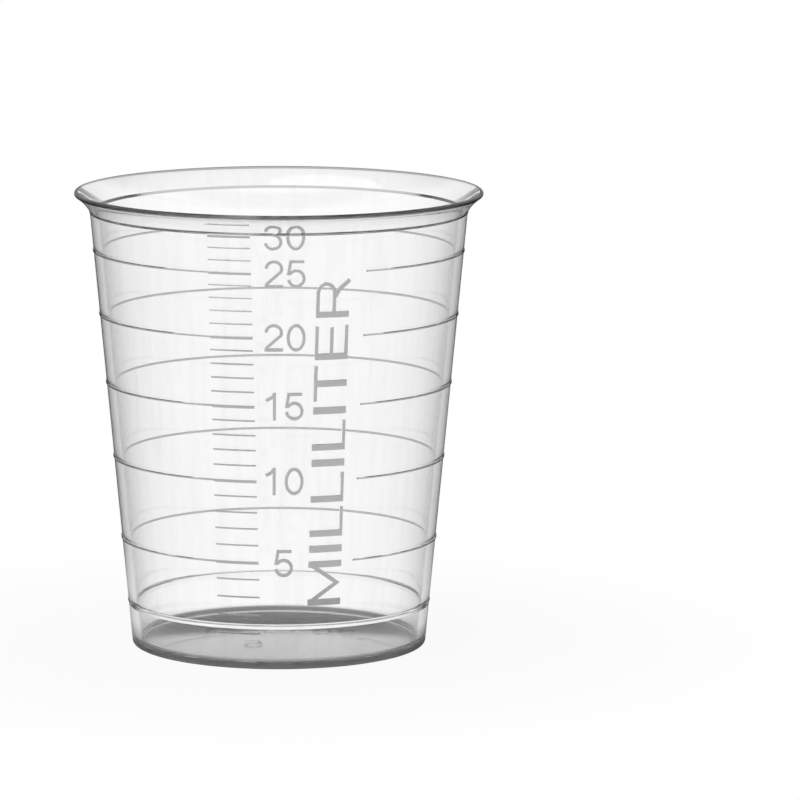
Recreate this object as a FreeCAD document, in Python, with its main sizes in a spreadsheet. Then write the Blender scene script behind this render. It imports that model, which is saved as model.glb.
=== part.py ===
import FreeCAD, Part
import math
import os
import Sketcher

# A one-piece injection-moulded medicine cup with a flared lip, a foot ring and raised volume marks.
# Millimetres and degrees. The cup stands on z = 0 with its axis on Z, and its marks face -Y.

SIZES = {
    "cup_height": (42.85, "standing plane to the top of the lip"),
    "base_radius": (13.79, "outside of the wall, carried down to the standing plane"),
    "wall_angle": (5.39, "lean of the wall from upright"),
    "wall": (0.75, "thickness of the wall, square to its face"),
    "floor_thickness": (0.65, "floor of the cup above the hollow inside the foot ring"),
    "floor_bevel": (0.35, "bevel of the corner between the floor and the wall, inside"),
    "ledge_height": (4.25, "standing plane to the fine ledge round the inside"),
    "ledge_width": (0.12, "tread of that ledge"),
    "foot_height": (0.40, "depth of the hollow under the floor"),
    "foot_width": (1.20, "width of the foot ring"),
    "foot_bevel": (0.30, "bevel of the outside bottom corner"),
    "gate_radius": (1.50, "dimple left round the moulding gate"),
    "gate_depth": (0.20, "depth of that dimple"),
    "flare_height": (1.90, "crease under the lip to the top of the lip"),
    "flare_angle": (30.0, "lean of the flare from upright, where it leaves the crease"),
    "crease_rise": (0.20, "inside crease above the outside one"),
    "lip_overhang": (1.45, "rim beyond the wall at the crease"),
    "lip_depth": (0.36, "height of the lip's edge"),
    "lip_width": (0.46, "width of the lip, seen from above"),
    "lip_bevel": (0.14, "bevel of the lip's upper outside corner"),
    "relief": (0.08, "height of the marks above the wall"),
    "line_thin": (0.15, "height of a 1 ml mark along the wall"),
    "line_thick": (0.30, "height of a ring, and of the mark with the top figure"),
    "tick_length": (4.05, "length of every short mark"),
    "tick_azimuth": (-15.1, "middle of the column of short marks, from the front, turned to the right"),
    "ring_azimuth": (27.5, "right end of the rings, from the front, turned to the right"),
    "mark_volume": (1000.0, "volume between two marks, in cubic millimetres"),
    "mark_zero": (0.62, "level above the floor that the marks count their volume from"),
    "mark_margin": (0.61, "marks end this far below the top of the lip"),
}
RING_EVERY = 5  # every fifth mark is a ring round the cup
TOP_FIGURE_MARK = 28  # the short thick mark that the top figure belongs to

os.makedirs("parts", exist_ok=True)
doc = FreeCAD.newDocument("medicine_cup")

sheet = doc.addObject("Spreadsheet::Sheet", "Sizes")
for row, (name, (value, meaning)) in enumerate(SIZES.items(), start=1):
    sheet.set(f"A{row}", name)
    sheet.set(f"B{row}", str(value))
    sheet.set(f"C{row}", meaning)
    sheet.setAlias(f"B{row}", name)
doc.recompute()

# Heights and radii that follow from the sizes, written as expressions over the sheet.
S = "Sizes."
SLOPE = f"tan({S}wall_angle)"
WALL_ACROSS = f"({S}wall / cos({S}wall_angle))"
CREASE_Z = f"({S}cup_height - {S}flare_height)"
FLOOR_Z = f"({S}foot_height + {S}floor_thickness)"
TOP_Z = f"{S}cup_height"


def outer_radius(height):
    return f"({S}base_radius + ({height}) * {SLOPE})"


def inner_radius(height):
    return f"({outer_radius(height)} - {WALL_ACROSS})"


def value_of(expression):
    result = sheet.evalExpression(expression)
    return float(getattr(result, "Value", result))


OUTER_CREASE = (outer_radius(CREASE_Z), CREASE_Z)
INNER_CREASE_Z = f"({CREASE_Z} + {S}crease_rise)"
INNER_CREASE = (inner_radius(INNER_CREASE_Z), INNER_CREASE_Z)
RIM_X = f"({OUTER_CREASE[0]} + {S}lip_overhang)"
LIP_UNDER_Z = f"({TOP_Z} - {S}lip_depth)"
FLOOR_CORNER = (f"({inner_radius(FLOOR_Z)} - {S}ledge_width)", FLOOR_Z)


def flare_arc(start, end):
    """Radius and centre of an arc that leaves its start at the flare angle and meets its end."""
    dx = f"({end[0]} - {start[0]})"
    dz = f"({end[1]} - {start[1]})"
    cosine = f"cos({S}flare_angle)"
    sine = f"sin({S}flare_angle)"
    radius = f"((pow({dx}; 2) + pow({dz}; 2)) / (2 * ({dx} * {cosine} - {dz} * {sine})))"
    return radius, f"({start[0]} + {radius} * {cosine})", f"({start[1]} - {radius} * {sine})"


LIP_UNDER = (RIM_X, LIP_UNDER_Z)
FLARE, FLARE_X, FLARE_Z = flare_arc(OUTER_CREASE, LIP_UNDER)

# Volume law: a plain cone that starts at the marks' zero level.
ZERO_X = inner_radius(f"{FLOOR_Z} + {S}mark_zero")


def height_of(marks):
    """Expression for the height that this many marks' volume fills the cup to."""
    cube = f"(pow({ZERO_X}; 3) + 3 * {SLOPE} * {marks} * {S}mark_volume / pi)"
    return f"((cbrt({cube}) - {inner_radius('0')}) / {SLOPE})"


def new_sketch(body, name):
    """Sketch on the body's upright plane: x is the radius and y is the height."""
    plane = next(f for f in body.Origin.OriginFeatures if f.Role == "XZ_Plane")
    sketch = body.newObject("Sketcher::SketchObject", name)
    sketch.AttachmentSupport = [(plane, "")]
    sketch.MapMode = "FlatFace"
    return sketch


def add_line(sketch, start, end):
    ends = [FreeCAD.Vector(value_of(x), value_of(z), 0) for x, z in (start, end)]
    return sketch.addGeometry(Part.LineSegment(*ends), False)


def add_arc(sketch, centre, radius, start, end):
    """Arc about a centre, from start to end anticlockwise, all given as numbers."""
    angles = [math.atan2(p[1] - centre[1], p[0] - centre[0]) for p in (start, end)]
    circle = Part.Circle(FreeCAD.Vector(*centre, 0), FreeCAD.Vector(0, 0, 1), radius)
    return sketch.addGeometry(Part.ArcOfCircle(circle, *angles), False)


def hold(sketch, kind, geometry, point, expression, name):
    """Dimension from the origin to a point, driven by an expression."""
    if expression == "0":
        axis = -2 if kind == "DistanceX" else -1
        sketch.addConstraint(Sketcher.Constraint("PointOnObject", geometry, point, axis))
        return
    constraint = Sketcher.Constraint(kind, -1, 1, geometry, point, value_of(expression))
    index = sketch.addConstraint(constraint)
    sketch.renameConstraint(index, name)
    sketch.setExpression(f"Constraints.{name}", expression)


def hold_point(sketch, geometry, point, place, name):
    hold(sketch, "DistanceX", geometry, point, place[0], f"{name}_x")
    hold(sketch, "DistanceY", geometry, point, place[1], f"{name}_z")


def join(sketch, kind, first, first_point, second, second_point):
    sketch.addConstraint(Sketcher.Constraint(kind, first, first_point, second, second_point))


def chain(sketch, corners):
    """Lines through named corners; returns the first and the last line."""
    names = list(corners)
    lines = [add_line(sketch, corners[a], corners[b]) for a, b in zip(names, names[1:])]
    for line, name in zip(lines, names):
        hold_point(sketch, line, 1, corners[name], name)
    hold_point(sketch, lines[-1], 2, corners[names[-1]], names[-1])
    for before, after in zip(lines, lines[1:]):
        join(sketch, "Coincident", before, 2, after, 1)
    return lines[0], lines[-1]


def revolve(body, sketch, name):
    turned = body.newObject("PartDesign::Revolution", name)
    turned.Profile = sketch
    turned.ReferenceAxis = (sketch, ["V_Axis"])
    turned.Angle = 360.0
    body.Tip = turned
    return turned


def wall_profile(body):
    """Section of the cup from the axis under the floor, up the outside, over the lip and down inside."""
    sketch = new_sketch(body, "wall_profile")
    foot_x = f"({S}base_radius - {S}foot_width)"
    ledge_x = inner_radius(f"{S}ledge_height")
    outside = {
        "gate_centre": ("0", f"{S}foot_height + {S}gate_depth"),
        "gate_corner": (f"{S}gate_radius - {S}gate_depth", f"{S}foot_height + {S}gate_depth"),
        "gate_mouth": (f"{S}gate_radius", f"{S}foot_height"),
        "hollow_corner": (f"{foot_x} - {S}foot_height / 2", f"{S}foot_height"),
        "foot_inside": (foot_x, "0"),
        "foot_outside": (f"{S}base_radius", "0"),
        "outer_crease": OUTER_CREASE,
    }
    inside = {
        "lip_under": LIP_UNDER,
        "lip_high": (RIM_X, f"{TOP_Z} - {S}lip_bevel"),
        "lip_top_outside": (f"{RIM_X} - {S}lip_bevel", TOP_Z),
        "lip_top_inside": (f"{RIM_X} - {S}lip_width", TOP_Z),
        "inner_crease": INNER_CREASE,
        "ledge_top": (ledge_x, f"{S}ledge_height"),
        "ledge_foot": (f"{ledge_x} - {S}ledge_width", f"{S}ledge_height"),
        "floor_corner": FLOOR_CORNER,
        "floor_centre": ("0", FLOOR_Z),
    }
    first_outside, last_outside = chain(sketch, outside)
    first_inside, last_inside = chain(sketch, inside)

    centre = (value_of(FLARE_X), value_of(FLARE_Z))
    ends = [[value_of(e) for e in point] for point in (LIP_UNDER, OUTER_CREASE)]
    flare = add_arc(sketch, centre, value_of(FLARE), *ends)
    join(sketch, "Coincident", last_outside, 2, flare, 2)
    join(sketch, "Coincident", flare, 1, first_inside, 1)
    hold(sketch, "DistanceX", flare, 3, FLARE_X, "flare_centre_x")

    axis = add_line(sketch, inside["floor_centre"], outside["gate_centre"])
    join(sketch, "Coincident", last_inside, 2, axis, 1)
    join(sketch, "Coincident", axis, 2, first_outside, 1)
    return sketch


def circles_at(shape, places):
    """Names of the shape's round edges at the given radius and height pairs."""
    names = []
    for number, edge in enumerate(shape.Edges, start=1):
        if not isinstance(edge.Curve, Part.Circle):
            continue
        found = (edge.Curve.Radius, edge.Curve.Center.z)
        if any(math.dist(found, place) < 1e-4 for place in places):
            names.append(f"Edge{number}")
    return names


def bevel_corner(body, base, name, place):
    """Chamfer on the round edge at a place of the section, as wide as the size of the same name."""
    edges = circles_at(base.Shape, [tuple(value_of(e) for e in place)])
    if len(edges) != 1:
        raise RuntimeError(f"{name}: {len(edges)} edges found")
    bevelled = body.newObject("PartDesign::Chamfer", name)
    bevelled.Base = (base, edges)
    bevelled.setExpression("Size", f"{S}{name}")
    body.Tip = bevelled
    doc.recompute()
    return bevelled


def make_wall():
    """The moulded cup without its marks."""
    body = doc.addObject("PartDesign::Body", "wall_body")
    wall = revolve(body, wall_profile(body), "wall_turned")
    doc.recompute()
    wall = bevel_corner(body, wall, "floor_bevel", FLOOR_CORNER)
    bevel_corner(body, wall, "foot_bevel", (f"{S}base_radius", "0"))
    return body


def make_skin():
    """Ring of material from mid-wall to the face of the marks, which follows the wall and the flare."""
    body = doc.addObject("PartDesign::Body", "mark_skin")
    sketch = new_sketch(body, "skin_profile")
    relief_across = f"({S}relief / cos({S}wall_angle))"
    half_wall = f"{WALL_ACROSS} / 2"
    top = f"({TOP_Z} - {S}mark_margin)"
    arc_radius = f"({FLARE} - {S}relief)"
    top_x = f"({FLARE_X} - sqrt(pow({arc_radius}; 2) - pow({top} - {FLARE_Z}; 2)))"
    crease_x = f"({FLARE_X} - sqrt(pow({arc_radius}; 2) - pow({CREASE_Z} - {FLARE_Z}; 2)))"
    corners = {
        "skin_top_inside": (f"{top_x} - {half_wall}", top),
        "skin_crease_inside": (f"{OUTER_CREASE[0]} - {half_wall}", CREASE_Z),
        "skin_foot_inside": (f"{outer_radius(FLOOR_Z)} - {half_wall}", FLOOR_Z),
        "skin_foot_outside": (f"{outer_radius(FLOOR_Z)} + {relief_across}", FLOOR_Z),
        "skin_crease_outside": (crease_x, CREASE_Z),
    }
    first, last = chain(sketch, corners)
    centre = [value_of(FLARE_X), value_of(FLARE_Z)]
    top_outside = (top_x, top)
    start = [value_of(e) for e in top_outside]
    end = [value_of(e) for e in corners["skin_crease_outside"]]
    arc = add_arc(sketch, centre, value_of(arc_radius), start, end)
    closing = add_line(sketch, top_outside, corners["skin_top_inside"])
    join(sketch, "Coincident", arc, 2, last, 2)
    join(sketch, "Coincident", arc, 1, closing, 1)
    join(sketch, "Coincident", closing, 2, first, 1)
    hold_point(sketch, arc, 3, (FLARE_X, FLARE_Z), "skin_flare_centre")
    sketch.addConstraint(Sketcher.Constraint("Horizontal", closing))
    revolve(body, sketch, "skin_turned")
    return body


def place_slice(part, mark, height):
    """Stand a slice so that its top edge is at its mark's volume."""
    part.setExpression("Height", height)
    part.setExpression("Placement.Base.z", f"{height_of(mark)} - {height}")
    return part


def make_tick(mark, height):
    """Straight-ended slice across the column of short marks."""
    tick = doc.addObject("Part::Box", f"tick_{mark}")
    turn = f"({S}tick_azimuth - 90)"
    tick.setExpression("Length", RIM_X)
    tick.setExpression("Width", f"{S}tick_length")
    tick.Placement = FreeCAD.Placement(FreeCAD.Vector(), FreeCAD.Rotation(FreeCAD.Vector(0, 0, 1), -90))
    tick.setExpression("Placement.Rotation.Angle", turn)
    tick.setExpression("Placement.Base.x", f"{S}tick_length / 2 * sin({turn})")
    tick.setExpression("Placement.Base.y", f"-{S}tick_length / 2 * cos({turn})")
    return place_slice(tick, mark, height)


def make_ring(mark):
    """Slice that runs round the back, from the short mark's middle to the right end of the rings."""
    ring = doc.addObject("Part::Cylinder", f"ring_{mark}")
    ring.setExpression("Radius", RIM_X)
    ring.setExpression("Angle", f"360 - {S}ring_azimuth + {S}tick_azimuth")
    ring.Placement = FreeCAD.Placement(FreeCAD.Vector(), FreeCAD.Rotation(FreeCAD.Vector(0, 0, 1), -62))
    ring.setExpression("Placement.Rotation.Angle", f"{S}ring_azimuth - 90")
    return place_slice(ring, mark, f"{S}line_thick")


def marks_that_fit():
    """Whole marks whose top edge stays below the end of the marks."""
    ceiling = value_of(f"{TOP_Z} - {S}mark_margin")
    count = 0
    while value_of(height_of(count + 1)) < ceiling:
        count += 1
    return count


def make_marks(skin):
    slices = []
    for mark in range(1, marks_that_fit() + 1):
        is_ring = mark % RING_EVERY == 0 and mark < TOP_FIGURE_MARK
        is_thick = is_ring or mark == TOP_FIGURE_MARK
        slices.append(make_tick(mark, f"{S}line_thick" if is_thick else f"{S}line_thin"))
        if is_ring:
            slices.append(make_ring(mark))
    all_slices = doc.addObject("Part::MultiFuse", "mark_slices")
    all_slices.Shapes = slices
    marks = doc.addObject("Part::Common", "marks")
    marks.Base = skin
    marks.Tool = all_slices
    return marks


wall_body = make_wall()
marks = make_marks(make_skin())
cup = doc.addObject("Part::MultiFuse", "cup")
cup.Label = "cup"
cup.Shapes = [wall_body, marks]
cup.Placement = FreeCAD.Placement(FreeCAD.Vector(0, 0, 0), FreeCAD.Rotation())
doc.recompute()

for item in doc.Objects:
    if "Invalid" in item.State or "Error" in item.State:
        raise RuntimeError(f"{item.Name} failed: {item.State}")
if cup.Shape.isNull() or not cup.Shape.isValid() or len(cup.Shape.Solids) != 1:
    raise RuntimeError("the cup is not one valid solid")
cup.Shape.exportStep("parts/cup.step")

print(f"cup: {cup.Shape.Volume:.1f} mm3 of plastic, {len(cup.Shape.Faces)} faces")
print(f"rim diameter {2 * value_of(RIM_X):.2f}, flare radius {value_of(FLARE):.2f}")
print("heights of marks 1, 5, 10, 15, 20, 25, 28, 29:",
      [round(value_of(height_of(mark)), 3) for mark in (1, 5, 10, 15, 20, 25, 28, 29)])
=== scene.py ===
import math

import bmesh
import bpy
import numpy as np
from mathutils import Matrix, Vector
from mathutils.geometry import delaunay_2d_cdt


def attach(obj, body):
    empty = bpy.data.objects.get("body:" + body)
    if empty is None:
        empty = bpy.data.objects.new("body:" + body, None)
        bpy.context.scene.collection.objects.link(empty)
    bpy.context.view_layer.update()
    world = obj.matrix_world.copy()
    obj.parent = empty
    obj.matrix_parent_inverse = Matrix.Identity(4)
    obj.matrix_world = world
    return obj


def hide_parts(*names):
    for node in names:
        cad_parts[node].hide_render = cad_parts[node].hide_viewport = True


# A moulded medicine cup of clear natural polypropylene, with raised volume marks.
# Sizes are millimetres and degrees; meshes are written in metres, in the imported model's frame.

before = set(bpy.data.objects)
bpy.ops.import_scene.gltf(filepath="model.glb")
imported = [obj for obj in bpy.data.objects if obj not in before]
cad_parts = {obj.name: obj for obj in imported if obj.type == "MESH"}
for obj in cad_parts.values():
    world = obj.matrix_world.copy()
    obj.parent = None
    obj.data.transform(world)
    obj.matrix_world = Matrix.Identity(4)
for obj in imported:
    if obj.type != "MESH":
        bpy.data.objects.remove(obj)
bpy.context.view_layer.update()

MM = 0.001

# The cup's section.
HEIGHT = 42.85
BASE_RADIUS = 13.79  # outside of the wall, carried down to the table
WALL_LEAN = 5.39
WALL = 0.75
FLOOR_THICKNESS = 0.45  # at the floor's edge, over the hollow inside the foot ring
FLOOR_ROUND = 0.40
FLOOR_DOME = 0.40  # the floor bows up by this in the middle
UNDER_DOME = 0.40
LEDGE_HEIGHT = 4.25
LEDGE_WIDTH = 0.12
LEDGE_FLANK = 0.50  # the low rib round the inside slopes back to the wall over this height
LEDGE_REST = 0.03
FOOT_HEIGHT = 0.20
FOOT_WIDTH = 1.20
FOOT_ROUND = 0.30
GATE_RADIUS = 1.50
GATE_DEPTH = 0.20
FLARE_HEIGHT = 1.90
FLARE_LEAN = 28.0
CREASE_RISE = 0.20
LIP_OVERHANG = 1.45
LIP_ROUND = 0.23

# The raised marks: lines by volume, figures, and the unit word up the wall.
RELIEF = 0.08
DRAFT = 0.03  # the foot of a mark is wider than its face by twice this
MARKS = 29
RING_EVERY = 5
TOP_FIGURE_MARK = 28
MARK_VOLUME = 1000.0
MARK_ZERO = 1.67  # height that the marks count their volume from
LINE_THIN = 0.13  # height of a short mark along the wall
LINE_THICK = 0.25  # of the short marks at the rings, and at the top figure
LINE_RING = 0.16
TICK_LENGTH = 4.05
TICK_AZIMUTH = -15.1  # from the front, turned to the right
RING_AZIMUTH = 27.5  # right end of the rings
FIGURE_AZIMUTH = 1.66
FIGURE_HEIGHT = 2.58
FIGURE_WIDTH = 1.70
FIGURE_PITCH = 2.03
FIGURE_STROKE = 0.29
FIGURES = {"30": 40.80, "25": 37.34, "20": 31.40, "15": 24.95, "10": 17.91, "5": 10.135}  # by height
WORD = "MILLILITER"
WORD_AZIMUTH = 16.7
WORD_HEIGHT = 3.14  # of its capitals
WORD_STARTS = (6.08, 11.11, 12.61, 15.86, 19.24, 20.76, 24.17, 25.38, 29.26, 33.20)  # up the wall

# The plain mould numbers under the floor, by their place from the axis as seen from above. They are
# the wall's figures, set wider apart, bolder and taller.
UNDER_FIGURES = {"21": (-5.4, 0.9), "30": (5.2, 0.2), "5": (-2.4, -5.6)}
UNDER_SPREAD = 1.1
UNDER_BOLD = 1.2
UNDER_STRETCH = 1.15
UNDER_STEP = 0.3  # a stroke is cut up this short, so that it bends with the sheet

# The fine lines at the mould's joints, by height and width, above the floor and under the lip.
SEAMS = ((4.15, 0.18), (40.93, 0.19))
SEAM_RELIEF = 0.05
SEAM_CREST = 0.125  # width of a line's crest, as a share of its foot

# Kinds of face on the skin: the wall with the foot of a mark, the face of a mark, the crest of a
# fine line.
WALL_FACE, MARK_FACE, SEAM_FACE = 0, 1, 2
FACE_HEIGHTS = (0.0, RELIEF, SEAM_RELIEF)

# Stretches of the section where more plastic gathers, and how much painted grey shade each gets as a bead.
PAINTED_SHADE_BEADS = (("foot", "foot_end", 1.0), ("lip", "lip_end", 1.0), ("inner_crease", "inner_crease_end", 0.7))

# Fineness of the mesh, round the cup and along the stretches of its section.
COLUMNS = 360
DOME_PIECES = 40
FOOT_PIECES = 8
FLARE_PIECES = 16
LIP_PIECES = 20
CORNER_PIECES = 20
SHEET_SCALE = 0.3  # millimetres of flat sheet for each degree round the cup, about true on the wall
SHEET_HALF = 180.0 * SHEET_SCALE
SHARPEST_MITRE = 0.35  # cosine past which a stroke's turn isn't drawn out to a longer point
SAME_POINT = 1e-6  # points closer than this are one
SHEET_MERGE = 1e-5

SLOPE = math.tan(math.radians(WALL_LEAN))
COS_LEAN = math.cos(math.radians(WALL_LEAN))
SIN_LEAN = math.sin(math.radians(WALL_LEAN))
FLOOR_HEIGHT = FOOT_HEIGHT + FLOOR_THICKNESS
CREASE_HEIGHT = HEIGHT - FLARE_HEIGHT


def outer_radius(height):
    return BASE_RADIUS + height * SLOPE


def inner_radius(height):
    return outer_radius(height) - WALL / COS_LEAN


class Section:
    """Half section of the cup, walked with the plastic on the left hand, in short straight pieces."""

    def __init__(self, start):
        self.points = [start]
        self.normals = []  # outward directions at the two ends of each piece
        self.names = {}

    def name(self, word):
        self.names[word] = len(self.points) - 1

    def line(self, *corners):
        for corner in corners:
            last = self.points[-1]
            dx, dz = corner[0] - last[0], corner[1] - last[1]
            length = math.hypot(dx, dz)
            outward = (dz / length, -dx / length)
            self.points.append(corner)
            self.normals.append((outward, outward))

    def dome(self, end, pieces):
        """Shallow parabola to a point; its slope is nothing where it meets the axis."""
        start = self.points[-1]
        outer, axis = (start, end) if end[0] < start[0] else (end, start)
        rise = axis[1] - outer[1]

        def at(x):
            share = x / outer[0]
            slope = -2 * rise * share / outer[0]
            length = math.hypot(1, slope)
            side = 1 if end[0] < start[0] else -1
            return (x, axis[1] - rise * share * share), (-side * slope / length, side / length)

        for step in range(pieces):
            before = start[0] + (end[0] - start[0]) * step / pieces
            after = start[0] + (end[0] - start[0]) * (step + 1) / pieces
            self.points.append(at(after)[0])
            self.normals.append((at(before)[1], at(after)[1]))

    def arc(self, centre, radius, start, end, pieces):
        """Arc between two angles in radians; it bulges outwards if the angle grows."""
        side = 1 if end > start else -1
        angles = [start + (end - start) * step / pieces for step in range(pieces + 1)]
        around = [(math.cos(angle), math.sin(angle)) for angle in angles]
        for before, after in zip(around, around[1:]):
            self.points.append((centre[0] + radius * after[0], centre[1] + radius * after[1]))
            self.normals.append(tuple((side * x, side * z) for x, z in (before, after)))


OUTER_CREASE = (outer_radius(CREASE_HEIGHT), CREASE_HEIGHT)
LIP_CENTRE = (OUTER_CREASE[0] + LIP_OVERHANG - LIP_ROUND, HEIGHT - LIP_ROUND)


def outer_flare():
    """Centre and radius of the flare's outside, and the angle at which it meets the lip's circle."""
    dx, dz = LIP_CENTRE[0] - OUTER_CREASE[0], LIP_CENTRE[1] - OUTER_CREASE[1]
    cosine, sine = math.cos(math.radians(FLARE_LEAN)), math.sin(math.radians(FLARE_LEAN))
    radius = (dx * dx + dz * dz - LIP_ROUND ** 2) / (2 * (dx * cosine - dz * sine + LIP_ROUND))
    centre = (OUTER_CREASE[0] + radius * cosine, OUTER_CREASE[1] - radius * sine)
    return centre, radius, math.atan2(LIP_CENTRE[1] - centre[1], LIP_CENTRE[0] - centre[0])


FLARE_CENTRE, FLARE_RADIUS, FLARE_END = outer_flare()


def cup_section():
    """From the axis under the floor, over the foot, up the outside, over the lip and down inside."""
    lean = math.radians(WALL_LEAN)
    flare_start = math.radians(180 - FLARE_LEAN)
    foot_x = BASE_RADIUS - FOOT_WIDTH
    under = FOOT_HEIGHT + UNDER_DOME
    section = Section((0.0, under + GATE_DEPTH))
    section.line((GATE_RADIUS - GATE_DEPTH, under + GATE_DEPTH), (GATE_RADIUS, under))
    section.name("underside")
    section.dome((foot_x - FOOT_HEIGHT / 2, FOOT_HEIGHT), DOME_PIECES)
    section.line((foot_x, 0.0))
    foot_centre = (BASE_RADIUS - FOOT_ROUND * (1 - SIN_LEAN) / COS_LEAN, FOOT_ROUND)
    section.line((foot_centre[0], 0.0))
    section.name("foot")
    section.arc(foot_centre, FOOT_ROUND, -math.pi / 2, -lean, FOOT_PIECES)
    section.line((outer_radius(FLOOR_HEIGHT), FLOOR_HEIGHT))
    section.name("foot_end")
    section.line(OUTER_CREASE)
    section.name("crease")
    section.arc(FLARE_CENTRE, FLARE_RADIUS, flare_start, FLARE_END, FLARE_PIECES)
    section.name("lip")
    section.arc(LIP_CENTRE, LIP_ROUND, FLARE_END - math.pi, FLARE_END, LIP_PIECES)
    section.name("lip_end")
    section.arc(FLARE_CENTRE, FLARE_RADIUS + 2 * LIP_ROUND, FLARE_END, flare_start, FLARE_PIECES)
    inner_crease = section.points[-1][1] - CREASE_RISE
    section.name("inner_crease")
    section.line((inner_radius(inner_crease), inner_crease))
    section.name("inner_crease_end")
    ledge_x = inner_radius(LEDGE_HEIGHT)
    flank_end = LEDGE_HEIGHT - LEDGE_FLANK
    section.line((ledge_x, LEDGE_HEIGHT), (ledge_x - LEDGE_WIDTH, LEDGE_HEIGHT),
                 (inner_radius(flank_end) - LEDGE_REST, flank_end))
    wall_x = inner_radius(0) - LEDGE_REST
    round_centre = (wall_x + (FLOOR_HEIGHT + FLOOR_ROUND) * SLOPE - FLOOR_ROUND / COS_LEAN,
                    FLOOR_HEIGHT + FLOOR_ROUND)
    section.line((round_centre[0] + FLOOR_ROUND * COS_LEAN, round_centre[1] - FLOOR_ROUND * SIN_LEAN))
    section.arc(round_centre, FLOOR_ROUND, -lean, -math.pi / 2, CORNER_PIECES)
    section.dome((0.0, FLOOR_HEIGHT + FLOOR_DOME), DOME_PIECES)
    return section


SECTION = cup_section()
POINTS = np.array(SECTION.points)
ALONG = np.concatenate(([0.0], np.cumsum(np.hypot(*np.diff(POINTS, axis=0).T))))
PIECE_NORMALS = np.array(SECTION.normals)
PLACES = {word: float(ALONG[index]) for word, index in SECTION.names.items()}


def along_of(height):
    """Distance along the section of a height on the outside of the wall or the flare."""
    if height <= CREASE_HEIGHT:
        return PLACES["crease"] - (CREASE_HEIGHT - height) / COS_LEAN
    leaning = math.asin((height - FLARE_CENTRE[1]) / FLARE_RADIUS)
    return PLACES["crease"] + FLARE_RADIUS * (leaning - math.radians(FLARE_LEAN))


def radius_at(along):
    return float(np.interp(along, ALONG, POINTS[:, 0]))


def add(tree, kind, settings=None, inputs=(), **values):
    """Adds a node. Settings are its own fields; inputs go in their order, or by name or number.

    An input is a plain value, a socket to link from, or a node to link the first output of.
    """
    node = tree.nodes.new(kind)
    for field, setting in (settings or {}).items():
        setattr(node, field, setting)
    sources = dict(inputs if isinstance(inputs, dict) else enumerate(inputs))
    sources.update((name.replace("_", " "), value) for name, value in values.items())
    for name, source in sources.items():
        if isinstance(source, bpy.types.Node):
            source = source.outputs[0]
        if isinstance(source, bpy.types.NodeSocket):
            tree.links.new(source, node.inputs[name])
        else:
            node.inputs[name].default_value = source
    return node


MATH = "ShaderNodeMath"
PLUS, MINUS, TIMES, OVER, POWER, LARGER = (
    {"operation": word} for word in ("ADD", "SUBTRACT", "MULTIPLY", "DIVIDE", "POWER", "MAXIMUM"))

SOCKET_KINDS = {
    float: "NodeSocketFloat",
    int: "NodeSocketInt",
    bpy.types.Object: "NodeSocketObject",
    bpy.types.Material: "NodeSocketMaterial",
}


def new_tree(name, inputs):
    """A Geometry Nodes tree with a named input of its own kind for each value, besides its geometry."""
    tree = bpy.data.node_groups.new(name, "GeometryNodeTree")
    tree.interface.new_socket("Geometry", in_out="INPUT", socket_type="NodeSocketGeometry")
    tree.interface.new_socket("Geometry", in_out="OUTPUT", socket_type="NodeSocketGeometry")
    for word, value in inputs.items():
        tree.interface.new_socket(word, in_out="INPUT", socket_type=SOCKET_KINDS[type(value)])
    return tree, add(tree, "NodeGroupInput").outputs, add(tree, "NodeGroupOutput").inputs


def evaluated_mesh(name, base, tree, inputs):
    """Runs a tree on a mesh and returns the plain mesh that comes out."""
    holder = bpy.data.objects.new(name, base)
    bpy.context.scene.collection.objects.link(holder)
    modifier = holder.modifiers.new(name, "NODES")
    modifier.node_group = tree
    for item in tree.interface.items_tree:
        if item.in_out == "INPUT" and item.name in inputs:
            modifier[item.identifier] = inputs[item.name]
    graph = bpy.context.evaluated_depsgraph_get()
    mesh = bpy.data.meshes.new_from_object(holder.evaluated_get(graph))
    bpy.data.objects.remove(holder)
    return mesh


def graduation_inputs(material):
    return {
        "Marks": MARKS, "Ring Every": RING_EVERY, "Top Figure Mark": TOP_FIGURE_MARK,
        "Mark Volume": MARK_VOLUME, "Slope": SLOPE,
        "Inner Radius": inner_radius(0.0), "Zero Radius": inner_radius(MARK_ZERO),
        "Crease Height": CREASE_HEIGHT, "Crease Along": PLACES["crease"], "Lean Cosine": COS_LEAN,
        "Flare Radius": FLARE_RADIUS, "Flare Centre Height": FLARE_CENTRE[1],
        "Flare Lean": math.radians(FLARE_LEAN), "Thin Line": LINE_THIN, "Thick Line": LINE_THICK,
        "Ring Line": LINE_RING,
        "Tick Middle": TICK_AZIMUTH * SHEET_SCALE, "Tick Length": TICK_LENGTH,
        "Ring Right": RING_AZIMUTH * SHEET_SCALE, "Half Turn": SHEET_HALF,
        "Outer Radius": BASE_RADIUS, "Draft": DRAFT,
        "Sheet Scale": math.degrees(1.0) * SHEET_SCALE, "Material": material,
    }


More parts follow.
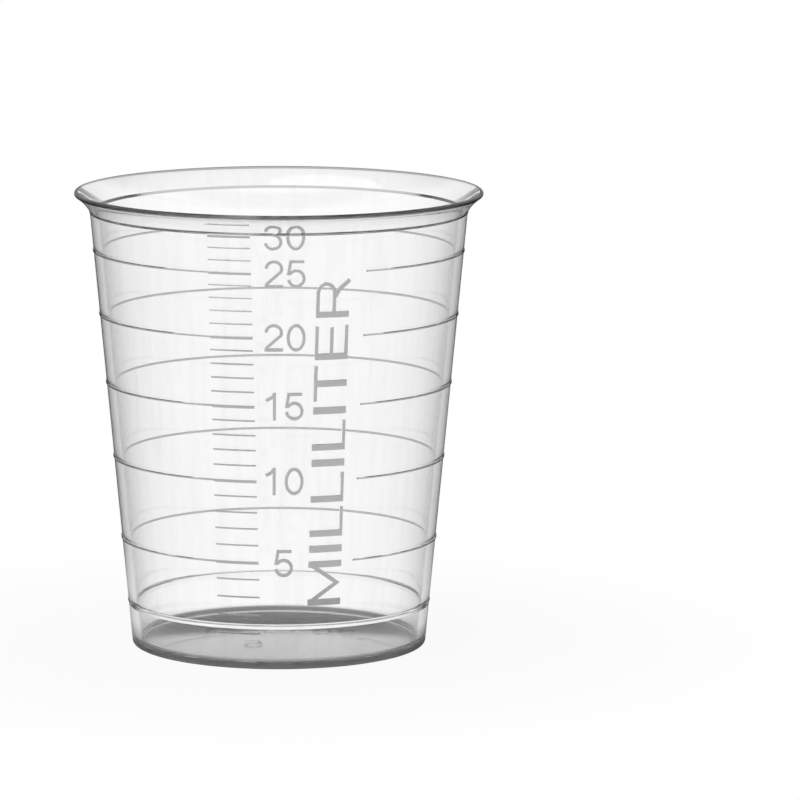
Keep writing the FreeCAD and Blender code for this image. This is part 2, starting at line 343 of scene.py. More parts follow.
def graduation_tree(inputs):
    """Bars on the flat sheet: a short one for each millilitre, and rings in two parts.

    Each bar's top edge lies at the height that its volume fills the cup to. Every bar comes twice,
    as its foot on the wall and as its smaller face, and the attribute "face" tells them apart.
    """
    tree, given, result = new_tree("graduation", inputs)

    line = add(tree, "GeometryNodeMeshLine", Count=given["Marks"])
    mark = add(tree, MATH, PLUS, (add(tree, "GeometryNodeInputIndex"), 1.0))

    # The cone of liquid up to a mark: its radius cubed grows evenly with its volume.
    filled = add(tree, MATH, TIMES, (mark, given["Mark Volume"]))
    cone = add(tree, MATH, TIMES, (add(tree, MATH, TIMES, (filled, 3.0 / math.pi)), given["Slope"]))
    cube = add(tree, MATH, PLUS, (add(tree, MATH, POWER, (given["Zero Radius"], 3.0)), cone))
    radius = add(tree, MATH, POWER, (cube, 1.0 / 3.0))
    widened = add(tree, MATH, MINUS, (radius, given["Inner Radius"]))
    height = add(tree, MATH, OVER, (widened, given["Slope"]))

    # The same height as a distance along the section, on the straight wall or on the curved flare.
    over = add(tree, MATH, MINUS, (height, given["Crease Height"]))
    on_wall = add(tree, MATH, OVER, (over, given["Lean Cosine"]))
    over_centre = add(tree, MATH, MINUS, (height, given["Flare Centre Height"]))
    sine = add(tree, MATH, OVER, (over_centre, given["Flare Radius"]))
    angle = add(tree, MATH, {"operation": "ARCSINE"}, (sine,))
    leaning = add(tree, MATH, MINUS, (angle, given["Flare Lean"]))
    on_flare = add(tree, MATH, TIMES, (leaning, given["Flare Radius"]))
    past = add(tree, MATH, {"operation": "GREATER_THAN"}, (over, 0.0))
    chosen = add(tree, "GeometryNodeSwitch", {"input_type": "FLOAT"},
                 {"Switch": past, "False": on_wall, "True": on_flare})
    top = add(tree, MATH, PLUS, (chosen, given["Crease Along"]))

    # Which marks are rings, and how thick the short ones are.
    ring_step = add(tree, MATH, {"operation": "MODULO"}, (mark, given["Ring Every"]))
    is_ring = add(tree, MATH, {"operation": "LESS_THAN"}, (ring_step, 0.5))
    is_top_figure = add(tree, MATH, {"operation": "COMPARE"}, (mark, given["Top Figure Mark"], 0.5))
    thick = add(tree, MATH, LARGER, (is_ring, is_top_figure))
    thicker_by = add(tree, MATH, MINUS, (given["Thick Line"], given["Thin Line"]))
    extra = add(tree, MATH, TIMES, (thick, thicker_by))
    tick_line = add(tree, MATH, PLUS, (given["Thin Line"], extra))

    # Ends of the bars: a length round the wall takes less of the sheet where the cup is wider.
    widening = add(tree, MATH, TIMES, (height, given["Slope"]))
    outer = add(tree, MATH, PLUS, (given["Outer Radius"], widening))
    per_length = add(tree, MATH, OVER, (given["Sheet Scale"], outer))
    half_length = add(tree, MATH, TIMES, (given["Tick Length"], 0.5))
    half_tick = add(tree, MATH, TIMES, (half_length, per_length))
    tick_left = add(tree, MATH, MINUS, (given["Tick Middle"], half_tick))
    tick_right = add(tree, MATH, PLUS, (given["Tick Middle"], half_tick))
    back_left = add(tree, MATH, TIMES, (given["Half Turn"], -1.0))

    def bars(which, left, right, thickness, grow, face):
        """One bar on each mark that counts, grown by a share of the draft on every side."""
        half = add(tree, MATH, TIMES, (thickness, 0.5))
        middle = add(tree, MATH, MINUS, (top, half))
        wider = add(tree, MATH, TIMES, (given["Draft"], grow))
        sideways = add(tree, MATH, TIMES, (wider, per_length))
        both = add(tree, MATH, PLUS, (left, right))
        length = add(tree, MATH, MINUS, (right, left))
        centre = add(tree, "ShaderNodeCombineXYZ", X=add(tree, MATH, TIMES, (both, 0.5)), Y=middle)
        size = add(tree, "ShaderNodeCombineXYZ", X=add(tree, MATH, PLUS, (length, sideways)),
                   Y=add(tree, MATH, PLUS, (thickness, wider)))
        placed = add(tree, "GeometryNodeSetPosition", Geometry=line, Position=centre)
        square = add(tree, "GeometryNodeMeshGrid", Size_X=1.0, Size_Y=1.0, Vertices_X=2, Vertices_Y=2)
        marked = add(tree, "GeometryNodeStoreNamedAttribute", {"data_type": "INT", "domain": "FACE"},
                     Geometry=square, Name="face", Value=face)
        return add(tree, "GeometryNodeInstanceOnPoints", Points=placed, Selection=which,
                   Instance=marked, Scale=size)

    joined = add(tree, "GeometryNodeJoinGeometry")
    for face, grow in ((WALL_FACE, 1.0), (MARK_FACE, -1.0)):
        for which, left, right, thickness in ((True, tick_left, tick_right, tick_line),
                                              (is_ring, back_left, tick_right, given["Ring Line"]),
                                              (is_ring, given["Ring Right"], given["Half Turn"],
                                               given["Ring Line"])):
            tree.links.new(bars(which, left, right, thickness, grow, face).outputs[0], joined.inputs[0])
    real = add(tree, "GeometryNodeRealizeInstances", Geometry=joined)
    dressed = add(tree, "GeometryNodeSetMaterial", Geometry=real, Material=given["Material"])
    tree.links.new(dressed.outputs[0], result[0])
    return tree


def graduation_bars(material):
    """The bars as (left, right, low, high, face) on the flat sheet."""
    inputs = graduation_inputs(material)
    mesh = evaluated_mesh("graduation", bpy.data.meshes.new("graduation"), graduation_tree(inputs), inputs)
    faces = mesh.attributes["face"].data
    bars = []
    for polygon in mesh.polygons:
        corners = [mesh.vertices[i].co for i in polygon.vertices]
        xs, ys = [c.x for c in corners], [c.y for c in corners]
        bars.append((min(xs), max(xs), min(ys), max(ys), faces[polygon.index].value))
    bpy.data.meshes.remove(mesh)
    return bars


def curve_points(centre, radii, start, end, pieces):
    """Points of an elliptical arc, angles in degrees anticlockwise."""
    angles = [math.radians(start + (end - start) * step / pieces) for step in range(pieces + 1)]
    return [(centre[0] + radii[0] * math.cos(a), centre[1] + radii[1] * math.sin(a)) for a in angles]


def figure_strokes(digit):
    """Centre lines of one figure about its own middle, as (stroke width, points)."""
    half = FIGURE_STROKE / 2
    right, top = FIGURE_WIDTH / 2 - half, FIGURE_HEIGHT / 2 - half
    edge = FIGURE_WIDTH / 2
    high = FIGURE_HEIGHT / 2
    lines = {
        "0": [curve_points((0, 0), (right + 0.02, top), 90, 450, 40)],
        "1": [[(0.21, -high), (0.21, high)], [(0.21, high - 0.16), (-0.12, 0.79), (-0.56, 0.56)]],
        "2": [curve_points((-0.01, 0.50), (right, top - 0.50), 180, -28, 18)
              + [(-0.62, -0.90), (-0.70, -top)], [(-edge, -top), (edge, -top)]],
        "3": [curve_points((-0.02, 0.63), (0.64, top - 0.63), 188, -68, 20) + [(-0.06, 0.165)],
              [(-0.06, 0.165)] + curve_points((-0.02, -0.50), (right, top - 0.50), 78, -172, 20)],
        "5": [[(-0.53, top), (edge - 0.13, top)], [(-0.50, high), (-0.72, -0.12)],
              [(-0.72, 0.02)] + curve_points((0.0, -0.42), (right, top - 0.42), 140, -172, 22)],
    }
    return [(FIGURE_STROKE, points) for points in lines[digit]]


def letter_strokes(letter):
    """Centre lines of one capital from its lower left corner, as (stroke width, points)."""
    cap = WORD_HEIGHT
    stem, arm = 0.60, 0.33
    s, a = stem / 2, arm / 2
    wide = {"M": 4.22, "L": 2.79, "I": 0.66, "T": 3.32, "E": 3.24, "R": 3.74}[letter]
    upright = (stem, [(s, 0), (s, cap)])
    return {
        "M": [upright, (stem, [(wide - s, 0), (wide - s, cap)]),
              (0.36, [(0.22, cap - 0.05), (wide / 2, 0.42), (wide - 0.22, cap - 0.05)])],
        "I": [(wide, [(wide / 2, 0), (wide / 2, cap)])],
        "L": [upright, (arm, [(0, a), (wide, a)])],
        "T": [(stem, [(wide / 2, 0), (wide / 2, cap)]), (arm, [(0, cap - a), (wide, cap - a)])],
        "E": [upright, (arm, [(0, a), (wide, a)]), (arm, [(0, cap - a), (wide - 0.08, cap - a)]),
              (arm, [(0, cap / 2), (wide - 0.2, cap / 2)])],
        "R": [upright, (0.34, [(0, cap - 0.17), (2.25, cap - 0.17)]
                        + curve_points((2.30, 2.20), (0.86, cap - 0.17 - 2.20), 90, -90, 12)
                        + [(0, 2.20 * 2 - cap + 0.17)]),
              (0.42, [(1.95, 1.35), (2.62, 1.00), (wide - 0.26, 0)])],
    }[letter]


def ribbon(points, width, grow):
    """Quads of a stroke with mitred turns; grow widens it and moves its two ends out."""
    closed = math.dist(points[0], points[-1]) < SAME_POINT
    path = [Vector(p) for p in (points[:-1] if closed else points)]
    count = len(path)
    steps = [(path[(i + 1) % count] - path[i]).normalized() for i in range(count if closed else count - 1)]
    half = (width + grow) / 2
    sides = []
    for i, point in enumerate(path):
        before = steps[i - 1] if closed or i > 0 else steps[0]
        after = steps[i % len(steps)] if closed or i < count - 1 else steps[-1]
        along = (before + after).normalized()
        across = Vector((-along.y, along.x)) * half / max(along.dot(after), SHARPEST_MITRE)
        if not closed and i in (0, count - 1):
            point = point + along * (grow / 2 if i else -grow / 2)
        sides.append((point + across, point - across))
    pairs = list(zip(sides, sides[1:])) + ([(sides[-1], sides[0])] if closed else [])
    return [(a[1], b[1], b[0], a[0]) for a, b in pairs]


def wall_place(azimuth, along):
    """Turns offsets in millimetres round and up the wall into places on the flat sheet."""
    def place(x, y):
        return azimuth * SHEET_SCALE + math.degrees(x / radius_at(along + y)) * SHEET_SCALE, along + y
    return place


def raised(strokes, place):
    """Quads of strokes as (place of each corner, face), first as their foot, then as their face."""
    return [([place(corner.x, corner.y) for corner in quad], face)
            for face, grow in ((WALL_FACE, DRAFT), (MARK_FACE, -DRAFT))
            for width, points in strokes
            for quad in ribbon(points, width, grow)]


def figure_polygons():
    """The figures beside the marks, each number centred on its drawn width."""
    found = []
    for figure, height in FIGURES.items():
        place = wall_place(FIGURE_AZIMUTH, along_of(height))
        strokes = []
        for index, digit in enumerate(figure):
            shift = (index - (len(figure) - 1) / 2) * FIGURE_PITCH
            strokes += [(w, [(x + shift, y) for x, y in points]) for w, points in figure_strokes(digit)]
        xs = [x for _, points in strokes for x, _ in points]
        middle = (min(xs) + max(xs)) / 2
        found += raised(strokes, lambda x, y: place(x - middle, y))
    return found


def word_polygons():
    """The unit word, which reads up the wall with its capitals' tops to the left."""
    found = []
    for letter, start in zip(WORD, WORD_STARTS):
        place = wall_place(WORD_AZIMUTH, along_of(start))
        found += raised(letter_strokes(letter), lambda x, y: place(WORD_HEIGHT / 2 - y, x))
    return found


def under_polygons():
    """The figures under the floor, which read the right way round from below."""
    found = []
    for figure, (middle_x, middle_y) in UNDER_FIGURES.items():
        for index, digit in enumerate(figure):
            shift = (index - (len(figure) - 1) / 2) * FIGURE_PITCH * UNDER_SPREAD
            strokes = [(w * UNDER_BOLD, in_short_steps(points)) for w, points in figure_strokes(digit)]
            found += raised(strokes, lambda x, y: under_place(middle_x - shift - x,
                                                              middle_y + y * UNDER_STRETCH))
    return found


def in_short_steps(points):
    """The same path with its long pieces cut up."""
    path = [points[0]]
    for start, end in zip(points, points[1:]):
        pieces = max(1, math.ceil(math.dist(start, end) / UNDER_STEP))
        path += [(start[0] + (end[0] - start[0]) * i / pieces, start[1] + (end[1] - start[1]) * i / pieces)
                 for i in range(1, pieces + 1)]
    return path


def under_place(x, y):
    """Flat sheet's place of a point under the floor; y grows away from the reader."""
    azimuth = math.degrees(math.atan2(x, -y))
    return azimuth * SHEET_SCALE, PLACES["underside"] + math.hypot(x, y) - GATE_RADIUS


def seam_polygons():
    """The fine lines as (place of each corner, face)."""
    found = []
    for height, width in SEAMS:
        middle = along_of(height)
        for face, half in ((WALL_FACE, width / 2), (SEAM_FACE, width * SEAM_CREST / 2)):
            low, high = middle - half, middle + half
            found.append(([(-SHEET_HALF, low), (SHEET_HALF, low), (SHEET_HALF, high), (-SHEET_HALF, high)],
                          face))
    return found


def on_sheet(x):
    """Keeps the bars that run to the back from passing the sheet's edge."""
    return min(max(x, -SHEET_HALF), SHEET_HALF)


def flat_sheet(material):
    """The whole skin as one flat triangle mesh: x goes round the cup and y along its section."""
    polygons = []
    for left, right, low, high, face in graduation_bars(material):
        left, right = on_sheet(left), on_sheet(right)
        polygons.append(([(left, low), (right, low), (right, high), (left, high)], face))
    polygons += figure_polygons() + word_polygons() + under_polygons() + seam_polygons()

    # The sheet's own grid: a row for each corner of the section and a column for each degree.
    rows = sorted(set(np.round(ALONG, 6)))
    columns = np.linspace(-SHEET_HALF, SHEET_HALF, COLUMNS + 1)
    verts = [Vector((x, y)) for y in rows for x in columns]
    across = len(columns)
    edges = []
    for row in range(len(rows)):
        start = row * across
        if row + 1 < len(rows):
            edges += [(start + i, start + i + across) for i in range(across)]
        edges += [(start + i, start + i + 1) for i in range(across - 1)]

    # The marks are cut into the grid, and each corner is lifted to the highest face that it is on.
    faces, kinds = [], []
    for corners, face in polygons:
        first = len(verts)
        verts += [Vector(c) for c in corners]
        faces.append(tuple(range(first, first + len(corners))))
        kinds.append(face)
    out_verts, _, out_faces, _, _, sources = delaunay_2d_cdt(verts, edges, faces, 0, SHEET_MERGE, True)
    heights = np.zeros(len(out_verts))
    for corners, source in zip(out_faces, sources):
        rise = max((FACE_HEIGHTS[kinds[i]] for i in source), default=0.0)
        for corner in corners:
            heights[corner] = max(heights[corner], rise)
    mesh = bpy.data.meshes.new("cup")
    mesh.from_pydata([(v.x, v.y, 0.0) for v in out_verts], [], out_faces)
    attribute = mesh.attributes.new("relief", "FLOAT", "POINT")
    attribute.data.foreach_set("value", heights)
    return mesh


def section_curve():
    """The section as a curve object in metres, for the turning tree to sample."""
    curve = bpy.data.curves.new("section", "CURVE")
    curve.dimensions = "3D"
    spline = curve.splines.new("POLY")
    spline.points.add(len(POINTS) - 1)
    for point, (x, z) in zip(spline.points, POINTS):
        point.co = (x * MM, 0.0, z * MM, 1.0)
    holder = bpy.data.objects.new("section", curve)
    bpy.context.scene.collection.objects.link(holder)
    return holder


def turning_tree(inputs):
    """Wraps the flat sheet round the axis along the section, and lifts its marks off the wall."""
    tree, given, result = new_tree("turning", inputs)

    section = add(tree, "GeometryNodeObjectInfo", Object=given["Section"])
    flat = add(tree, "ShaderNodeSeparateXYZ", Vector=add(tree, "GeometryNodeInputPosition"))
    azimuth = add(tree, MATH, TIMES, (flat.outputs["X"], given["Radians Per Sheet"]))
    along = add(tree, MATH, TIMES, (flat.outputs["Y"], MM))
    sample = add(tree, "GeometryNodeSampleCurve", {"mode": "LENGTH", "use_all_curves": True},
                 Curves=section.outputs["Geometry"], Length=along)
    place = add(tree, "ShaderNodeSeparateXYZ", Vector=sample.outputs["Position"])
    way = add(tree, "ShaderNodeSeparateXYZ", Vector=sample.outputs["Tangent"])

    # A mark's face stands off square to the section.
    relief = add(tree, "GeometryNodeInputNamedAttribute", {"data_type": "FLOAT"}, Name="relief")
    lift = add(tree, MATH, TIMES, (relief, MM))
    outwards = add(tree, MATH, TIMES, (way.outputs["Z"], lift))
    downwards = add(tree, MATH, TIMES, (way.outputs["X"], lift))
    radius = add(tree, MATH, PLUS, (place.outputs["X"], outwards))
    height = add(tree, MATH, MINUS, (place.outputs["Z"], downwards))

    sine = add(tree, MATH, {"operation": "SINE"}, (azimuth,))
    cosine = add(tree, MATH, {"operation": "COSINE"}, (azimuth,))
    forwards = add(tree, MATH, TIMES, (radius, cosine))
    turned_place = add(tree, "ShaderNodeCombineXYZ", X=add(tree, MATH, TIMES, (radius, sine)),
                       Y=add(tree, MATH, TIMES, (forwards, -1.0)), Z=height)
    stored = add(tree, "GeometryNodeStoreNamedAttribute", {"data_type": "FLOAT", "domain": "POINT"},
                 Geometry=given["Geometry"], Name="along", Value=flat.outputs["Y"])
    turned = add(tree, "GeometryNodeSetPosition", Geometry=stored, Position=turned_place)
    real = add(tree, "GeometryNodeRealizeInstances", Geometry=turned)
    dressed = add(tree, "GeometryNodeSetMaterial", Geometry=real, Material=given["Material"])
    tree.links.new(dressed.outputs[0], result[0])
    return tree


# Natural polypropylene's tones, and the painted shade of its beads and of its edges.
FROST_TINT = "#8A8A8A"
# Painted shade: the grey of the lip, the crease inside it and the foot.
PAINTED_BEAD_SHADE_TINT = "#8C8C8C"
CLEAR_TINT = "#FFFFFF"
HAZE_TINT = "#FAFAF9"
BODY_TINT = "#BCBCBC"
# Painted shade where the wall is seen edge on.
PAINTED_EDGE_SHADE_TINT = "#000000"
REFRACTION = 1.49
ABSORPTION = 12.0  # for each metre of plastic
GLOSS = (0.02, 0.06)  # roughness of the clearest and the haziest skin
BEAD_ROUGHNESS = 0.28
FROST_ROUGHNESS = 0.40
STREAK = (0.9, 0.9, 14.0)  # millimetres: flow streaks are narrow across the wall and long up it
HAZE_RANGE = (0.45, 0.75)  # noise levels between which a streak goes from clear to its full haze
RIPPLE = 0.0022  # millimetres of waviness in the skin
# Painted shade: the wall's colour goes towards black where it is seen edge on.
EDGE_SHADE = 0.85  # how far the wall darkens where it is seen edge on
EDGE_POWER = 2.8  # how late that sets in


# Places of the colour sockets on a Mix node.
MIX_UNDER, MIX_OVER, MIX_RESULT = 6, 7, 2


def new_material(name):
    material = bpy.data.materials.new(name)
    material.use_nodes = True
    material.node_tree.nodes.clear()
    return material, material.node_tree


def colour(code):
    """Linear colour of an sRGB hex code."""
    parts = [int(code[i:i + 2], 16) / 255 for i in (1, 3, 5)]
    return tuple(c / 12.92 if c <= 0.04045 else ((c + 0.055) / 1.055) ** 2.4 for c in parts) + (1.0,)


def natural_polypropylene():
    """Natural polypropylene, injection moulded: a clear, glossy skin over a faintly milky body.

    The plastic ran up the wall from the gate in the floor, which leaves long faint streaks of haze
    and a slight waviness: they break up what is seen through the wall. Where the wall is seen edge
    on, its colour is darkened towards black, a painted shade. The faces of the marks are etched in
    the mould, so they scatter light and stand out as frosted grey. The rounded lip, the crease inside
    it and the foot, where the wall meets the floor plate, gather more plastic; they are rougher, and
    their grey is painted shade.
    """
    material, tree = new_material("natural_polypropylene")
    frost = add(tree, "ShaderNodeAttribute", {"attribute_name": "frost"}).outputs["Fac"]
    bead_with_painted_shade = add(tree, "ShaderNodeAttribute", {"attribute_name": "bead_with_painted_shade"}).outputs["Fac"]

    place = add(tree, "ShaderNodeTexCoord")
    stretched = add(tree, "ShaderNodeMapping", {"vector_type": "POINT"}, Vector=place.outputs["Object"],
                    Scale=tuple(1 / (size * MM) for size in STREAK))
    streaks = add(tree, "ShaderNodeTexNoise", Vector=stretched, Scale=1.0, Detail=3.0, Roughness=0.5)
    haze = add(tree, "ShaderNodeMapRange", Value=streaks, From_Min=HAZE_RANGE[0], From_Max=HAZE_RANGE[1])
    ripple = add(tree, "ShaderNodeBump", Height=streaks, Distance=RIPPLE * MM)

    gloss = add(tree, "ShaderNodeMapRange", Value=haze, To_Min=GLOSS[0], To_Max=GLOSS[1])
    etched = add(tree, "ShaderNodeMapRange", Value=frost, To_Min=gloss, To_Max=FROST_ROUGHNESS)
    beaded = add(tree, MATH, TIMES, (bead_with_painted_shade, BEAD_ROUGHNESS))
    rough = add(tree, MATH, LARGER, (etched, beaded))

    # Painted shade: the wall's colour goes towards black as it turns edge on to the view.
    facing = add(tree, "ShaderNodeLayerWeight", Blend=0.5)
    edge_on = add(tree, MATH, POWER, (facing.outputs["Facing"], EDGE_POWER))
    shade = add(tree, MATH, TIMES, (edge_on, EDGE_SHADE))
    # The tint takes the streaks' haze, the painted shade of the beads, the painted shade where the wall is
    # seen edge on, and the frost.
    tint = colour(CLEAR_TINT)
    for share, over in ((haze, HAZE_TINT), (bead_with_painted_shade, PAINTED_BEAD_SHADE_TINT), (shade, PAINTED_EDGE_SHADE_TINT), (frost, FROST_TINT)):
        tint = add(tree, "ShaderNodeMix", {"data_type": "RGBA"},
                   {"Factor": share, MIX_UNDER: tint, MIX_OVER: colour(over)}).outputs[MIX_RESULT]
    shader = add(tree, "ShaderNodeBsdfPrincipled", Roughness=rough, Base_Color=tint, Normal=ripple,
                 IOR=REFRACTION, Transmission_Weight=1.0)
    depth = add(tree, "ShaderNodeVolumeAbsorption", Color=colour(BODY_TINT), Density=ABSORPTION)
    add(tree, "ShaderNodeOutputMaterial", Surface=shader, Volume=depth)
    return material


def turned_cup(material):
    """The sheet turned into the cup's whole skin."""
    section = section_curve()
    inputs = {"Section": section, "Radians Per Sheet": math.radians(1.0 / SHEET_SCALE), "Material": material}
    mesh = evaluated_mesh("cup", flat_sheet(material), turning_tree(inputs), inputs)
    bpy.data.objects.remove(section)
    return mesh


def close_skin(mesh):
    """Joins the sheet's two edges behind the cup, and its two ends on the axis."""
    work = bmesh.new()
    work.from_mesh(mesh)
    bmesh.ops.remove_doubles(work, verts=work.verts, dist=SAME_POINT)
    bmesh.ops.dissolve_degenerate(work, dist=SAME_POINT / 10, edges=work.edges)
    work.to_mesh(mesh)
    work.free()
    mesh.validate()


def values_of(items, field, kind=np.float32, width=1):
    """One field of every item of a mesh, as an array."""
    values = np.zeros(len(items) * width, kind)
    items.foreach_get(field, values)
    return values if width == 1 else values.reshape(-1, width)


def store_values(mesh, name, values):
    """One value for each corner, as an attribute that the material reads."""
    mesh.attributes.new(name, "FLOAT", "CORNER").data.foreach_set("value", values.astype(np.float32))


def finish_cup(mesh):
    """Gives the closed skin the section's true normals, the frost of its marks and the painted shade of its
    beads.
    """
    close_skin(mesh)
    corners = values_of(mesh.loops, "vertex_index", np.int32)
    sizes = values_of(mesh.polygons, "loop_total", np.int32)
    flat_normals = values_of(mesh.polygons, "normal", width=3)
    along = values_of(mesh.attributes["along"].data, "value")[corners]
    relief = values_of(mesh.attributes["relief"].data, "value")[corners]
    x, y, _ = values_of(mesh.vertices, "co", width=3)[corners].T
    owner = np.repeat(np.arange(len(sizes)), sizes)

    # The piece of the section that each face lies on, and whether the face is the side of a mark.
    middle_along = np.bincount(owner, along) / sizes
    piece = np.clip(np.searchsorted(ALONG, middle_along) - 1, 0, len(PIECE_NORMALS) - 1)
    low = np.full(len(sizes), np.inf)
    high = np.full(len(sizes), -np.inf)
    np.minimum.at(low, owner, relief)
    np.maximum.at(high, owner, relief)
    side = (high - low) > SEAM_RELIEF / 2

    # Normals go evenly from one end of a piece to the other, turned round the axis. The sides of the
    # marks and the corners on the axis keep their face's own.
    at = piece[owner]
    share = np.clip((along - ALONG[at]) / (ALONG[at + 1] - ALONG[at]), 0, 1)[:, None]
    normal = PIECE_NORMALS[at, 0] * (1 - share) + PIECE_NORMALS[at, 1] * share
    turn = np.arctan2(x, -y)
    normal = np.column_stack((normal[:, 0] * np.sin(turn), -normal[:, 0] * np.cos(turn), normal[:, 1]))
    flat = side[owner] | (np.hypot(x, y) < SAME_POINT)
    normal[flat] = flat_normals[owner][flat]
    normal /= np.linalg.norm(normal, axis=1)[:, None]
    mesh.polygons.foreach_set("use_smooth", np.ones(len(sizes), bool))
    mesh.normals_split_custom_set(normal.tolist())

    # How much painted grey shade each bead gets; the material roughens it by the same share.
    thick = np.zeros(len(sizes))
    for start, end, amount in PAINTED_SHADE_BEADS:
        thick[(middle_along > PLACES[start]) & (middle_along < PLACES[end])] = amount
    store_values(mesh, "frost", (low > RELIEF / 2)[owner])
    store_values(mesh, "bead_with_painted_shade", thick[owner])
    for name in ("along", "relief"):
        mesh.attributes.remove(mesh.attributes[name])
    return mesh


polypropylene = natural_polypropylene()
cup = bpy.data.objects.new("cup_shell", finish_cup(turned_cup(polypropylene)))
bpy.context.scene.collection.objects.link(cup)
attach(cup, "root")
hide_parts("cup")


# The table top. Lengths from the cup's axis are metres.
TABLE_HALF = 3.0
TABLE_COLOUR = "#F0F0F0"  # beside the cup
# Painted shade: far off, the table turns dark grey, which only the cup's reflections see, for the dark edges
# of the wall.
PAINTED_FAR_SHADE = "#505050"  # far off, where the wall's edges mirror it
# Painted shade: the table under the cup is a little darker.
TABLE_SHADE = "#E4E4E4"  # under the cup
UNDER_CUP = 0.0145
BESIDE_CUP = 0.0190
FAR_START = 0.022
FAR_END = 0.060
# Painted shadow: the plastic sees only this share of white under the cup.
UNDER_GLOW = 0.27  # how white the table under the cup shows through the plastic
SHADOW_NEAR = 0.016
SHADOW_FAR = 0.055
# Painted shadow: near the cup the camera's white fades by distance to the lit table, on top of the real
# shadow.
SHADOW_WHITE = 0.93  # how white the table shows to the camera beside the cup


def table_top():
    corners = [(-TABLE_HALF, -TABLE_HALF, 0.0), (TABLE_HALF, -TABLE_HALF, 0.0),
               (TABLE_HALF, TABLE_HALF, 0.0), (-TABLE_HALF, TABLE_HALF, 0.0)]
    mesh = bpy.data.meshes.new("studio_table")
    mesh.from_pydata(corners, [], [(0, 1, 2, 3)])
    top = bpy.data.objects.new("studio_table", mesh)
    bpy.context.scene.collection.objects.link(top)
    return top


def studio_floor():
    """Pale table top that reads as white, and keeps the cup's faint shadow.

    It shows plain white to the camera and through the plastic, as brightly lit matt paper does. Near
    the cup the camera's white gives way by distance to the lit table, a faint painted shadow besides
    the real one. Less light arrives under the cup, and there the table is painted a little darker and
    the plastic sees only a share of white: a painted shadow, which the cup's floor shows as grey. Far
    off, the table is painted dark grey, which only the cup's reflections see: painted shade for the
    edges of the wall.
    """
    material, tree = new_material("studio_table")
    path = add(tree, "ShaderNodeLightPath")
    white = add(tree, "ShaderNodeEmission", Color=(1, 1, 1, 1), Strength=1.0)
    place = add(tree, "ShaderNodeTexCoord")
    reach = add(tree, "ShaderNodeVectorMath", {"operation": "LENGTH"}, (place.outputs["Object"],))

    fades = {}
    for name, near, far, low, high in (("far", FAR_START, FAR_END, 0.0, 1.0),
                                       ("beside", UNDER_CUP, BESIDE_CUP, 0.0, 1.0),
                                       ("painted_under_shadow", UNDER_CUP, BESIDE_CUP, UNDER_GLOW, 1.0),
                                       ("shadow", SHADOW_NEAR, SHADOW_FAR, SHADOW_WHITE, 1.0)):
        fades[name] = add(tree, "ShaderNodeMapRange", {"interpolation_type": "SMOOTHSTEP"},
                          Value=reach.outputs["Value"], From_Min=near, From_Max=far, To_Min=low, To_Max=high)

    hidden = add(tree, "ShaderNodeBsdfDiffuse", Color=colour(TABLE_SHADE))
    # Painted shade: far off, the table is painted dark grey for the cup's reflections to see.
    table_with_painted_far_shade = add(tree, "ShaderNodeMix", {"data_type": "RGBA"},
                 {"Factor": fades["far"], MIX_UNDER: colour(TABLE_COLOUR), MIX_OVER: colour(PAINTED_FAR_SHADE)})
    open_top = add(tree, "ShaderNodeBsdfDiffuse", Color=table_with_painted_far_shade.outputs[MIX_RESULT])
    lit = add(tree, "ShaderNodeMixShader", None, (fades["beside"], hidden, open_top))
    # Painted shadow: under the cup, what the plastic sees is only partly white.
    bent = add(tree, MATH, TIMES, (path.outputs["Is Transmission Ray"], fades["painted_under_shadow"]))
    # Near the cup the camera's white fades by distance: a painted shadow besides the real one.
    straight = add(tree, MATH, TIMES, (path.outputs["Is Camera Ray"], fades["shadow"]))
    seen = add(tree, MATH, LARGER, (bent, straight))
    mixed = add(tree, "ShaderNodeMixShader", None, (seen, lit, white))
    add(tree, "ShaderNodeOutputMaterial", Surface=mixed)
    floor = table_top()
    floor.data.materials.append(material)


# Sine of the height over the horizon, and how bright the studio is there: a white backdrop, the dark
# gap over it that the floor of the cup mirrors, a wide white panel, and the dim ceiling.
SKY = ((0.0, 1.0), (0.06, 1.0), (0.095, 0.02), (0.185, 0.02), (0.22, 1.0), (0.42, 1.0), (0.65, 0.15))


def studio_world():
    """The studio round the table, the same all round; the camera itself sees plain white."""
    world = bpy.data.worlds.new("studio")
    world.use_nodes = True
    tree = world.node_tree
    tree.nodes.clear()
    direction = add(tree, "ShaderNodeTexCoord")
    up = add(tree, "ShaderNodeSeparateXYZ", Vector=direction.outputs["Generated"])
    sky = add(tree, "ShaderNodeValToRGB", Fac=up.outputs["Z"])
    ramp = sky.color_ramp
    ramp.interpolation = "EASE"
    for index, (rise, level) in enumerate(SKY):
        stop = ramp.elements[index] if index < 2 else ramp.elements.new(rise)
        stop.position = rise
        stop.color = (level, level, level, 1.0)
    path = add(tree, "ShaderNodeLightPath")
    level = add(tree, MATH, LARGER, (sky, path.outputs["Is Camera Ray"]))
    background = add(tree, "ShaderNodeBackground", Color=(1, 1, 1, 1), Strength=level)
    add(tree, "ShaderNodeOutputWorld", Surface=background)
    bpy.context.scene.world = world


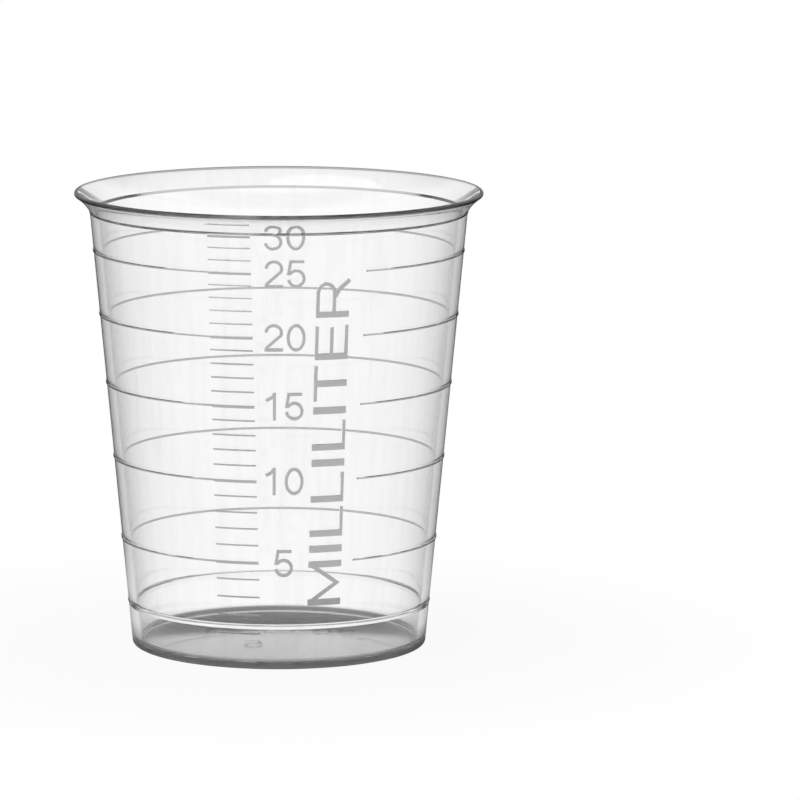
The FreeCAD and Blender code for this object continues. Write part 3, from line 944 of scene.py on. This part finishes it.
# One broad soft lamp, up at the left in front; metres and watts.
LAMP_PLACE = (-0.6, -0.7, 1.1)
LAMP_SIZE = 1.6
LAMP_WATTS = 6.0


def studio_lamp():
    light = bpy.data.lights.new("key", "AREA")
    light.shape = "DISK"
    light.size = LAMP_SIZE
    light.energy = LAMP_WATTS
    lamp = bpy.data.objects.new("key", light)
    bpy.context.scene.collection.objects.link(lamp)
    lamp.location = LAMP_PLACE
    lamp.rotation_euler = Vector(LAMP_PLACE).to_track_quat("Z", "Y").to_euler()


# The photograph's camera, from a fit of the lip, the rings and the base; lengths in metres.
CAMERA_PLACE = (0.0, -0.5646, 0.1130)
CAMERA_YAW = math.radians(1.1530)
CAMERA_PITCH = math.radians(9.0555)
CAMERA_ROLL = math.radians(0.16495)
FOCAL_PIXELS = 6089.1
PICTURE_PIXELS = 800
SENSOR = 36.0


def photo_camera():
    data = bpy.data.cameras.new("camera")
    data.sensor_width = SENSOR
    data.lens = FOCAL_PIXELS / PICTURE_PIXELS * SENSOR
    data.clip_start = 0.01
    data.clip_end = 20.0
    camera = bpy.data.objects.new("camera", data)
    bpy.context.scene.collection.objects.link(camera)
    forward = Vector((math.sin(CAMERA_YAW) * math.cos(CAMERA_PITCH),
                      math.cos(CAMERA_YAW) * math.cos(CAMERA_PITCH), -math.sin(CAMERA_PITCH)))
    level = Vector((math.cos(CAMERA_YAW), -math.sin(CAMERA_YAW), 0.0))
    up = level.cross(forward)
    right = level * math.cos(CAMERA_ROLL) + up * math.sin(CAMERA_ROLL)
    top = up * math.cos(CAMERA_ROLL) - level * math.sin(CAMERA_ROLL)
    turn = Matrix((right, top, -forward)).transposed()
    camera.matrix_world = Matrix.Translation(CAMERA_PLACE) @ turn.to_4x4()
    bpy.context.scene.camera = camera


photo_camera()
studio_world()
studio_floor()
studio_lamp()

view = bpy.context.scene.view_settings
view.view_transform = "Standard"

# A ray meets many faces of the clear wall and its marks before it leaves the cup.
cycles = bpy.context.scene.cycles
cycles.max_bounces = 32
cycles.transmission_bounces = 28
cycles.glossy_bounces = 12
